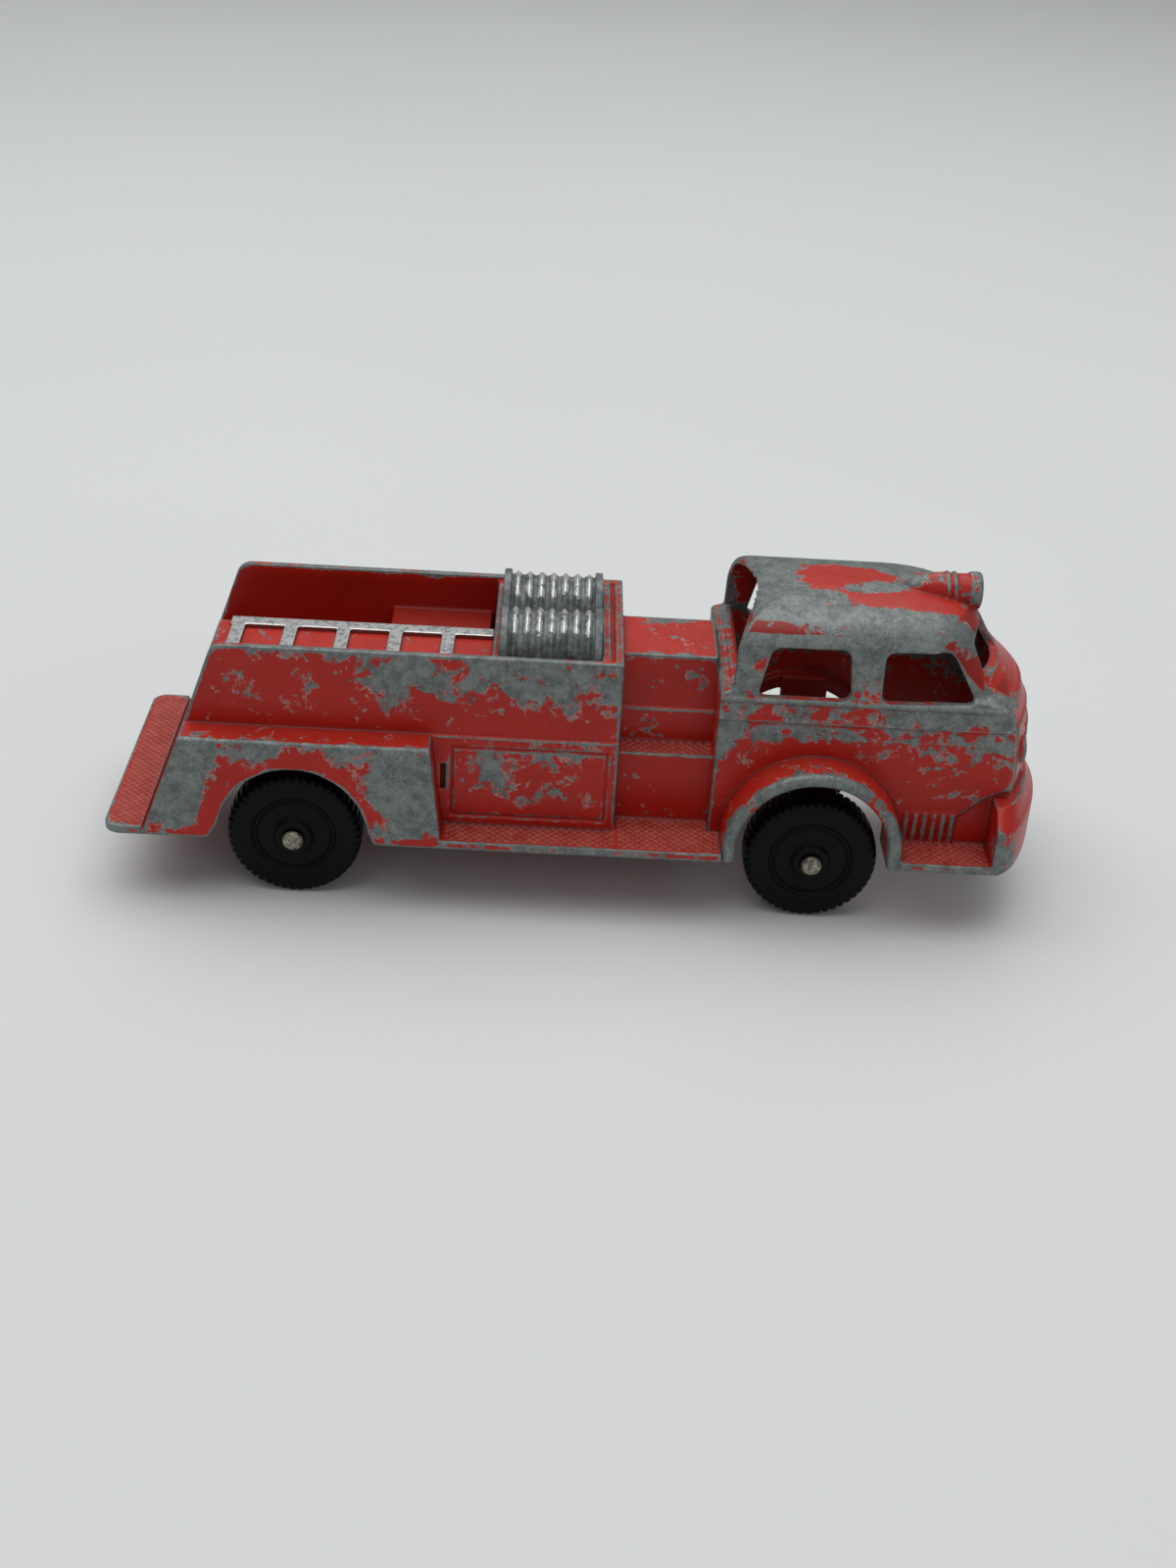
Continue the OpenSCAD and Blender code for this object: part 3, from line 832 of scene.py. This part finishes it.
def in_box(points, low, high, fade=0.5):
    """1 inside a box, fading to 0 over its edges."""
    share = np.ones(len(points))
    for k in range(3):
        above = step_up(low[k] - fade, low[k], points[:, k])
        below = step_up(-high[k] - fade, -high[k], -points[:, k])
        share *= above * below
    return share


# Cast treads: the corners of each patch on the left side, mirrored to the right
TREADS = [
    ((28.6, 19.6, 15), (60.0, 25.5, 16)),
    ((60.9, 15.0, 15), (79.6, 25.5, 16)),
    ((114.6, 18.4, 15), (130.4, 25.5, 16)),
    ((-33.8, 0, 15), (-28.2, 25.0, 16)),
    ((60.9, 9.5, 29), (77.3, 13.8, 30.5)),
]


def tread_share(points, facing):
    left = points.copy()
    left[:, 1] = np.abs(left[:, 1])
    share = np.zeros(len(points))
    for low, high in TREADS:
        share = np.maximum(share, in_box(left, low, high, 0.3))
    return share * step_up(0.6, 0.9, facing[:, 2])


def press_treads(mesh):
    """Presses diamond cells into the treads, between crossed ridges.

    Returns how far each vertex belongs to a tread, and to a cell in it.
    """
    points, facing = vertices(mesh), normals(mesh)
    share = tread_share(points, facing)

    def ridge(along):
        return np.cos(math.pi * along / TREAD_PITCH) ** TREAD_SHARPNESS

    crossed = np.maximum(ridge(points[:, 0] + points[:, 1]), ridge(points[:, 0] - points[:, 1]))
    cell = share * (1 - crossed)
    points[:, 2] -= TREAD_DEPTH * cell
    move_vertices(mesh, points)
    return share, cell


def zone(points, centre, reach):
    """1 near a centre, 0 from a little past reach on."""
    away = np.linalg.norm((points - np.array(centre)) / np.array(reach), axis=1)
    return 1 - step_up(0.1, 1.15, away)


def paint_wear(piece, zones, sheltered):
    """Sets the attributes that the enamel reads: wear, painted shade for hollows, tread and cell.

    A zone is a strength, a centre and how far it reaches along each axis. Sheltered boxes keep
    their paint and are darkened with painted shade.
    """
    mesh = piece.data
    sharp = ridges(mesh, SHARP_ROUNDS)
    broad = ridges(mesh, BROAD_ROUNDS)
    tread, cell = press_treads(mesh)
    points = vertices(mesh)
    wear = np.full(len(points), float(BASE_WEAR))
    for strength, centre, reach in zones:
        wear += ZONE_STRENGTH * strength * zone(points, centre, reach)
    # edges and corners that stand out are rubbed bare; hollows and tread cells keep their paint
    wear += 0.75 * step_up(0.02, 0.07, sharp) + 0.35 * step_up(0.05, 0.2, broad)
    wear -= 0.45 * step_up(0.04, 0.3, -broad) + tread * (0.25 + 0.5 * cell)
    # hollows are darkened: painted shade for the shade that falls in them
    hollow_shade = step_up(0.05, 0.35, -broad)
    for low, high in sheltered:
        inside = in_box(points, low, high)
        wear -= 1.2 * inside
        # sheltered insides get painted shade as well
        hollow_shade = np.maximum(hollow_shade, 0.6 * inside)
    set_attribute(mesh, "wear", wear)
    set_attribute(mesh, "hollow_shade", hollow_shade)
    set_attribute(mesh, "tread", tread)
    set_attribute(mesh, "cell", cell)


def both_sides(zones):
    """Zones given for the right side, with their mirror images."""
    return zones + [(s, (x, -y, z), r) for s, (x, y, z), r in zones]


# Where the cab is more worn than elsewhere, or less: strength, centre, reach
CAB_ZONES = both_sides([
    (1.9, (104, -14.5, 57.2), (38, 8, 7)),
    (0.8, (126, -13, 54), (7, 7, 8)),
    (0.75, (82, -18, 50), (5, 4, 8)),
    (0.8, (104.4, -18.5, 50), (4.5, 3, 8)),
    (0.8, (124, -18, 51), (6, 4, 8)),
    (0.38, (105, -19, 43.6), (32, 4, 3)),
    (0.6, (130, -16, 44), (8, 8, 5)),
    (0.38, (100, -19, 38.6), (28, 4, 2.6)),
    (0.6, (80, -19, 38), (3.6, 3, 10)),
    (0.55, (131, -17, 37), (5, 5, 7)),
    (0.25, (117, -19, 35), (15, 4, 8)),
    (0.7, (97, -26.3, 31), (16, 2.2, 4)),
    (0.75, (82, -26, 19), (4, 2.4, 9)),
    (0.75, (113, -26, 19), (4, 2.4, 9)),
    (0.85, (134, -26, 17.5), (6, 7, 6)),
    (-0.8, (132, -24, 25), (6, 5, 2.6)),
]) + [
    (1.2, (96, 0, 61), (24, 19, 5)),
    (1.0, (116, 0, 60), (16, 19, 6)),
    (-1.5, (98, 1, 61), (11, 10, 4)),
    (-1.3, (107, 3, 61), (9, 5, 4)),
    (-1.7, (106, -8, 60), (7, 4.5, 4)),
    (-2.2, (115, -6.5, 60), (10, 5.5, 4)),
    (-1.3, (119, 5.5, 60), (7, 4.5, 4)),
    (-1.1, (119.5, 0, 60.5), (11, 5, 3.6)),
    (0.8, (142, 0, 18), (4, 24, 5)),
]
# Boxes inside the cab, from corner to corner
CAB_SHELTERED = [((81.5, -16.2, 0), (126, 16.2, 58.2)), ((120, -14, 0), (131.5, 14, 47))]


def make_cab():
    """The cab, its nose, bumper and siren, with the flares, steps and lugs that are cast on to it."""
    cab = build_cab()
    soften(cab, VOXEL, EDGE_ROUNDS)
    paint_wear(cab, CAB_ZONES, CAB_SHELTERED)
    thin_out(cab, CAST_FACES)
    drawn_anew = ["cab_shell", "roof_siren", "headlight_right", "headlight_left", "front_bumper"]
    finish_piece(cab, "cab_casting", "casting", CAST_PAINT, drawn_anew + CAB_FROM_CAD)


# ---------------------------------------------------------------- hose body casting

HOSE_NODES = [
    "hose_body", "bed_locker", "tail_panel", "rear_step", "rear_fender_right", "rear_fender_left",
    "running_board_right", "running_board_left", "side_panel_right", "side_panel_left", "pump_housing",
    "rear_axle_lugs",
]
# Where the hose body is more worn or less, and the boxes inside it that are sheltered
HOSE_ZONES = both_sides([
    (0.42, (20, -19, 49.5), (45, 2.5, 4.0)),
    (0.45, (46, -19, 45.5), (22, 2.5, 9)),
    (0.35, (20, -19, 43), (12, 2.5, 6)),
    (0.30, (22, -19, 45), (14, 2.5, 4)),
    (0.12, (20, -19, 42), (40, 2.5, 8)),
    (0.55, (59, -19, 42), (3, 2.5, 9)),
    (1.2, (-22, -26.5, 26), (11, 3.5, 14)),
    (0.7, (-9, -26, 32), (10, 3.5, 4)),
    (1.2, (21.5, -26.5, 26), (11, 3.5, 14)),
    (0.5, (9, -26, 32.5), (10, 3.5, 3.2)),
    (-0.4, (1, -26.5, 30), (9, 2.5, 2.6)),
    (-0.5, (-14.5, -26.5, 21), (4, 2.5, 7)),
    (-0.9, (23.5, -26.5, 14.6), (5, 2.5, 1.2)),
    (0.4, (48, -20, 30.5), (16, 2.5, 4.5)),
    (0.4, (36, -20, 26), (10, 2.5, 8)),
    (0.25, (48, -20, 23), (12, 2.5, 6)),
    (0.5, (70, -8, 47.3), (8, 2.6, 2)),
    (0.35, (55, -26.5, 14.5), (26, 1.5, 1.3)),
    (0.35, (31, -22, 15.4), (4, 5, 1.5)),
    (0.4, (-33, -25, 14.6), (4, 4, 2)),
]) + [
    (0.3, (-34.9, 0, 14.6), (1.6, 27, 1.5)),
]
HOSE_SHELTERED = [
    ((-17.2, 2.2, 34.5), (35.2, 17.2, 48.6)),
    ((-25, -23.3, 0), (25, 23.3, 31.8)),
    ((28, -16.8, 0), (58, 16.8, 39)),
    ((60.4, -12.2, 0), (78, 12.2, 27.5)),
]
VENT_SLOT = [(27.0, 22.6), (27.9, 22.6), (27.9, 28.2), (27.0, 28.2)]

# Where the pump housing is let into the cab's rear wall, so that no gap shows between them
PUMP_HALF = [(14.3, 16.5), (14.3, 29.6), (9, 29.6), (9, 36.4), (8.3, 36.4), (8.3, 45.0)]
PUMP_END = PUMP_HALF + mirrored(PUMP_HALF)[::-1]


def make_hose_casting():
    """Hose box, fenders, boards, tail and pump housing, joined from their CAD nodes into one solid."""
    body = cad_copy(HOSE_NODES[0])
    for node in HOSE_NODES[1:]:
        boolean(body, cad_copy(node), "UNION")
    for side in (-1, 1):
        side_cut(body, VENT_SLOT, side, 18.1, 20)
    boolean(body, prism(PUMP_END, "x", CAB_REAR - 0.1, CAB_REAR + 0.8), "UNION")
    soften(body, VOXEL, EDGE_ROUNDS)
    paint_wear(body, HOSE_ZONES, HOSE_SHELTERED)
    thin_out(body, CAST_FACES)
    finish_piece(body, "hose_body_casting", "casting", CAST_PAINT, HOSE_NODES)


# ---------------------------------------------------------------- ladder and reels

SHELF_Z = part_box("hose_ladder")[0].z / MM
SINK = 0.5      # how far ladder and reels are let into the casting below them
LADDER_FACES = 24_000


def make_ladder():
    """The cast ladder, silver on top, red down its sides and rubbed through at its front end."""
    ladder = cad_copy("hose_ladder")
    points = vertices(ladder.data)
    points[points[:, 2] < SHELF_Z + 0.1, 2] -= SINK
    move_vertices(ladder.data, points)
    soften(ladder, 0.2, 4)
    mesh = ladder.data
    points = vertices(mesh)
    set_attribute(mesh, "shine", 0.55 + 0.3 * step_up(0.02, 0.12, ridges(mesh, 6)))
    side_face = 1 - step_up(0.35, 0.8, normals(mesh)[:, 2])
    rust = 0.1 + 0.5 * zone(points, (32, -8, 46), (5, 9, 4)) + 0.8 * side_face
    set_attribute(mesh, "rust", rust)
    thin_out(ladder, LADDER_FACES)
    finish_piece(ladder, "hose_ladder_cast", "casting", LADDER_PAINT, ["hose_ladder"])


REEL_RIBS = 7
FLANGE = 1.5
COIL_SUNK = 0.35     # how far the coils' crests lie below the flanges' rims
COIL_DEPTH = 0.75
REEL_FACES = 50_000


def make_reel(name, node):
    """A reel's end flanges with coils of hose between them, cut flat where it sits in its tray."""
    low, high = to_truck([*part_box(node)])
    length = high[0] - low[0]
    radius = (high[1] - low[1]) / 2
    centre_y, centre_z = (low[1] + high[1]) / 2, high[2] - radius
    pitch = (length - 2 * FLANGE) / REEL_RIBS
    along = np.linspace(0, length, 190)[1:-1]
    coil = np.abs(np.cos(math.pi * (along - FLANGE) / pitch)) ** 1.4
    outer = radius - COIL_SUNK - COIL_DEPTH * coil
    flange = (along < FLANGE) | (along > length - FLANGE)
    outer[flange] = radius - 0.02
    profile = [(0, 0), (radius - 0.5, 0), *zip(outer, along), (radius - 0.5, length), (0, length)]
    reel = revolve(profile, "x", (low[0], centre_y, centre_z), 160)
    boolean(reel, block((0, -40, low[2] - SINK), (100, 40, 80)), "INTERSECT")
    soften(reel, 0.16, 3)
    mesh = reel.data
    points = vertices(mesh)
    # silver is left on the coils' crests, in a band on either side of the top
    angle = np.degrees(np.arctan2(points[:, 1] - centre_y, points[:, 2] - centre_z))
    rib = (points[:, 0] - low[0] - FLANGE) / pitch
    crest = step_up(0.12, 0.34, 0.5 - np.abs(rib % 1 - 0.5)) * ((rib > 0) & (rib < REEL_RIBS))
    band = step_up(-52, -36, angle) * (1 - step_up(-8, 8, angle))
    far_band = step_up(-30, -12, angle) * (1 - step_up(20, 40, angle))
    set_attribute(mesh, "shine", 0.10 + 0.55 * crest * np.maximum(band, far_band))
    set_attribute(mesh, "rust", 0.05 + 0.6 * (1 - step_up(42.8, 45.6, points[:, 2])))
    thin_out(reel, REEL_FACES)
    finish_piece(reel, name, "casting", REEL_PAINT, [node])


# ---------------------------------------------------------------- wheels and axles

LUGS = 48
LUG_DEPTH = 0.5
CROWN = 0.16        # how far the tread's edges lie below its middle
SHOULDER_R = 1.1    # rounding from the tread to the walls
WHEEL_BORE = 1.65
BOSS_PROUD = 1.2    # how far the hub boss stands out of the tyre's face


def wheel_profile(width, radius, bore, boss):
    """A wheel's half section, as (radius, depth from its inner face)."""
    edge, r = radius - CROWN, SHOULDER_R
    tread = [(radius - CROWN * (2 * t - 1) ** 2, r + (width - 2 * r) * t) for t in np.linspace(0, 1, 15)]
    turn = np.linspace(0, math.pi / 2, 7)
    near = [(edge - r * (1 - math.sin(a)), r - r * math.cos(a)) for a in turn[:-1]]
    far = [(edge - r * (1 - math.cos(a)), width - r + r * math.sin(a)) for a in turn[1:]]
    wall = [(10.6, width + 0.12), (9.6, width + 0.2), (8.6, width + 0.22), (8.1, width + 0.16)]
    ring = [(7.9, width - 0.05), (7.7, width - 0.45), (7.3, width - 0.55), (6.95, width - 0.42)]
    ring += [(6.8, width - 0.12), (6.4, width)]
    disc = [(5.4, width - 0.08), (4.5, width - 0.1), (4.0, width - 0.02), (3.7, width + 0.3)]
    hub = [(3.45, boss - 0.35), (3.25, boss - 0.1), (2.95, boss), (bore + 0.25, boss), (bore, boss - 0.2)]
    return near + tread + far + wall + ring + disc + hub + [(bore, 0.2), (bore + 0.2, 0), (9, 0)]


def make_wheel(node, side):
    low, high = to_truck([*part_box(node)])
    radius = (high[2] - low[2]) / 2
    inner = min(abs(low[1]), abs(high[1]))
    boss = abs(high[1] - low[1])
    centre = (low + high) / 2

    def lugs(radii, depth, turns):
        """Chevron grooves across the tread, fading out below the shoulder."""
        slant = 0.9 * np.abs(np.abs(depth) / boss - 0.43)
        phase = (turns * LUGS / (2 * math.pi) + slant) % 1
        groove = step_up(0.30, 0.42, 0.5 - np.abs(phase - 0.5))
        return radii - LUG_DEPTH * groove * step_up(radius - 1.7, radius - 0.7, radii)

    profile = wheel_profile(boss - BOSS_PROUD, radius, WHEEL_BORE, boss)
    if side < 0:
        profile = [(r, -d) for r, d in profile]
    wheel = revolve(profile, "y", (centre[0], side * inner, centre[2]), LUGS * 8, lugs)
    finish_piece(wheel, node + "_rubber", node, RUBBER, [node])


ROD_R = 1.6
HEAD_R = 1.98


def make_axle(node):
    """A rod with a domed head at each end, dented by peening."""
    low, high = to_truck([*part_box(node)])
    centre = (low + high) / 2
    tip = high[1]
    rim = [
        (ROD_R, tip - 1.3), (HEAD_R - 0.15, tip - 1.28), (HEAD_R, tip - 1.1), (HEAD_R, tip - 0.8),
        (HEAD_R - 0.2, tip - 0.45),
    ]
    turn = np.linspace(0.25, math.pi / 2, 8)
    dome = [(HEAD_R * math.cos(a) * 0.86, tip - 0.45 + 0.43 * math.sin(a)) for a in turn]
    profile = rim + dome[:-1] + [(0, tip - 0.02)]
    profile = [(r, -d) for r, d in profile[::-1]] + profile
    axle = revolve(profile, "y", (centre[0], 0, centre[2]), 64)
    points = vertices(axle.data)
    for k, p in enumerate(points):
        if abs(p[1]) > tip - 0.9:
            dent = noise.noise(Vector((p[0] * 1.3, p[1], p[2] * 1.3)))
            points[k, 1] -= math.copysign(0.12 * abs(dent), p[1])
    move_vertices(axle.data, points)
    finish_piece(axle, node + "_rod", node, STEEL, [node])


make_cab()
make_hose_casting()
make_ladder()
for side_name, side in (("right", -1), ("left", 1)):
    make_reel("hose_reel_" + side_name + "_cast", "hose_reel_" + side_name)
    for end in ("front", "rear"):
        make_wheel("wheel_" + end + "_" + side_name, side)
for end in ("front", "rear"):
    make_axle(end + "_axle")

# ---------------------------------------------------------------- stage


def make_stage():
    """A pale seamless sweep: a floor that runs up into a backdrop."""
    g = Graph("pale_sweep")
    tone = g.noise(260, 2, 0.5)
    g.surface(g.mix(tone, (0.60, 0.62, 0.615), (0.64, 0.66, 0.655)), 0.75, 0.0)
    depth, lift, bend = 3.0, 2.0, 0.8
    turn = np.linspace(0, math.pi / 2, 24)
    curve = [(depth - bend + bend * math.sin(a), bend - bend * math.cos(a)) for a in turn]
    run = [(-depth, 0)] + curve + [(depth, lift)]
    points = [(x, y, z) for x in (-4, 4) for y, z in run]
    count = len(run)
    faces = [(k, k + 1, count + k + 1, count + k) for k in range(count - 1)]
    mesh = bpy.data.meshes.new("studio_sweep")
    mesh.from_pydata(points, [], faces)
    mesh.materials.append(g.material)
    mesh.polygons.foreach_set("use_smooth", [True] * len(faces))
    sweep = bpy.data.objects.new("studio_sweep", mesh)
    bpy.context.scene.collection.objects.link(sweep)


make_stage()
